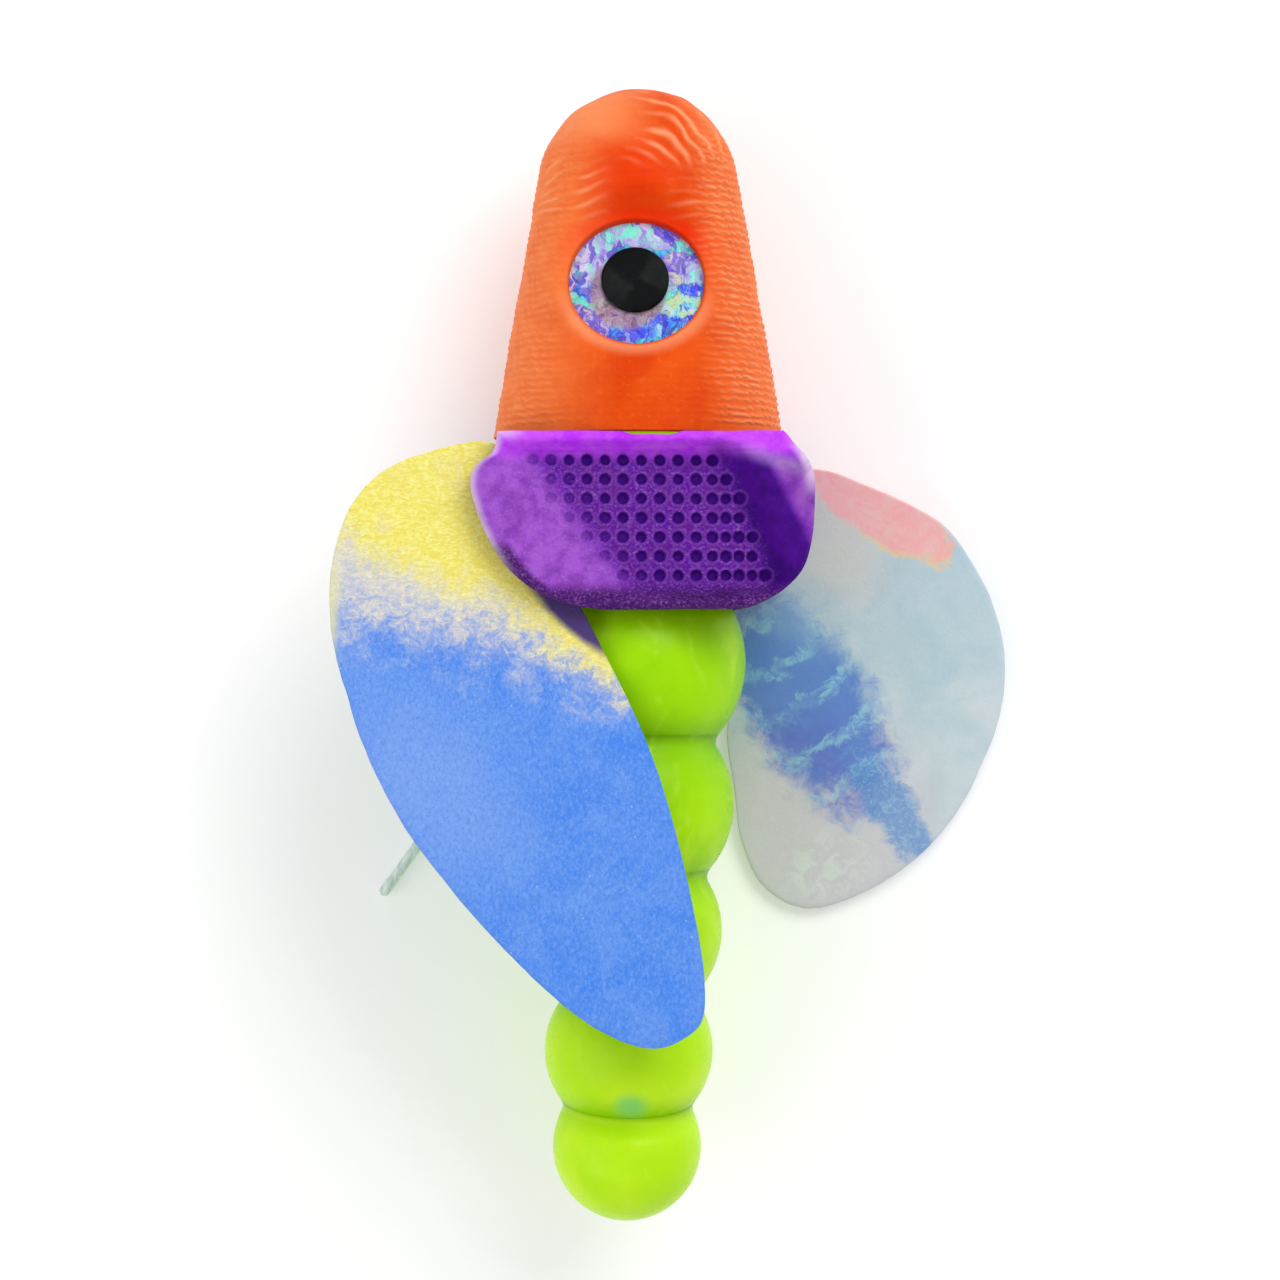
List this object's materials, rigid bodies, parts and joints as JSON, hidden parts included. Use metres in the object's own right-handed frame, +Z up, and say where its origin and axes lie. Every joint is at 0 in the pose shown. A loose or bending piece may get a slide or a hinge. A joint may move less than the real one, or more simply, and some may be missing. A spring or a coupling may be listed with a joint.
{
  "type": "winged bug toy",
  "caption": "Jointed dragonfly-like bug toy: domed head with a holographic eye, dimpled collar, tail of nested beads, peg leg, and film wings that sweep on pins.",
  "frame": {"origin": "middle of the collar's flat underside, which the toy lies on", "axes": "+Y along the body from tail to head, +Z up out of the dimpled back, +X to the toy's right seen from above with the head away from the viewer"},
  "size_m": [0.0499, 0.083, 0.0218],
  "materials": {
    "collar": "satin soft purple silicone",
    "bead": "glossy, slightly translucent lime soft plastic",
    "leg": "pearly pale mint",
    "pin": "drawn steel wire",
    "head": "satin soft orange silicone with fine ribs",
    "weight": "plain steel",
    "eye_foil": "holographic foil flakes",
    "eye_pupil": "gloss black print",
    "eye_lens": "clear domed resin",
    "wing_left": "frosted iridescent film, yellow to blue",
    "eyelet": "rolled brass",
    "wing_right": "pale iridescent film, grey-blue with pink and blue patches"
  },
  "bodies": {
    "thorax": {"collar": "collar", "thorax_core": "bead", "neck_ring": "bead", "leg": "leg", "wing_pin_left": "pin", "wing_pin_right": "pin", "tail_pin_1": "pin"},
    "head": {"head_shell": "head", "nose_weight": "weight", "eye_foil": "eye_foil", "eye_pupil": "eye_pupil", "eye_lens": "eye_lens"},
    "wing_left": {"wing_blade_left": "wing_left", "wing_eyelet_left": "eyelet"},
    "wing_right": {"wing_blade_right": "wing_right", "wing_eyelet_right": "eyelet"},
    "tail_1": {"tail_bead_1": "bead", "tail_pin_2": "pin"},
    "tail_2": {"tail_bead_2": "bead", "tail_pin_3": "pin"},
    "tail_3": {"tail_bead_3": "bead", "tail_pin_4": "pin"},
    "tail_4": {"tail_bead_4": "bead", "tail_pin_5": "pin"},
    "tail_5": {"tail_bead_5": "bead"}
  },
  "joints": [
    {"name": "head_turn", "type": "hinge", "parent": "thorax", "child": "head", "pos_m": [0, 0.0095, 0.0106], "axis": [0, 1, 0], "range_deg": [-40, 40]},
    {"name": "left_wing_sweep", "type": "hinge", "parent": "thorax", "child": "wing_left", "pos_m": [-0.0094, 0.0003, 0.01832], "axis": [0, 0.0872, 0.9962], "range_deg": [-55, 5]},
    {"name": "right_wing_sweep", "type": "hinge", "parent": "thorax", "child": "wing_right", "pos_m": [0.0094, -0.0005, 0.00193], "axis": [0, -0.0349, 0.9994], "range_deg": [-6, 45]},
    {"name": "tail_swing_1", "type": "hinge", "parent": "thorax", "child": "tail_1", "pos_m": [0, 0.0003, 0.0106], "axis": [0, 0, 1], "range_deg": [-6, 6]},
    {"name": "tail_swing_2", "type": "hinge", "parent": "tail_1", "child": "tail_2", "pos_m": [-0.00018, -0.0103, 0.0106], "axis": [0, 0, 1], "range_deg": [-12, 12]},
    {"name": "tail_swing_3", "type": "hinge", "parent": "tail_2", "child": "tail_3", "pos_m": [-0.00037, -0.0207, 0.0106], "axis": [0, 0, 1], "range_deg": [-12, 12]},
    {"name": "tail_swing_4", "type": "hinge", "parent": "tail_3", "child": "tail_4", "pos_m": [-0.00053, -0.02996, 0.0106], "axis": [0, 0, 1], "range_deg": [-12, 12]},
    {"name": "tail_swing_5", "type": "hinge", "parent": "tail_4", "child": "tail_5", "pos_m": [-0.00068, -0.03875, 0.0106], "axis": [0, 0, 1], "range_deg": [-12, 12]}
  ]
}
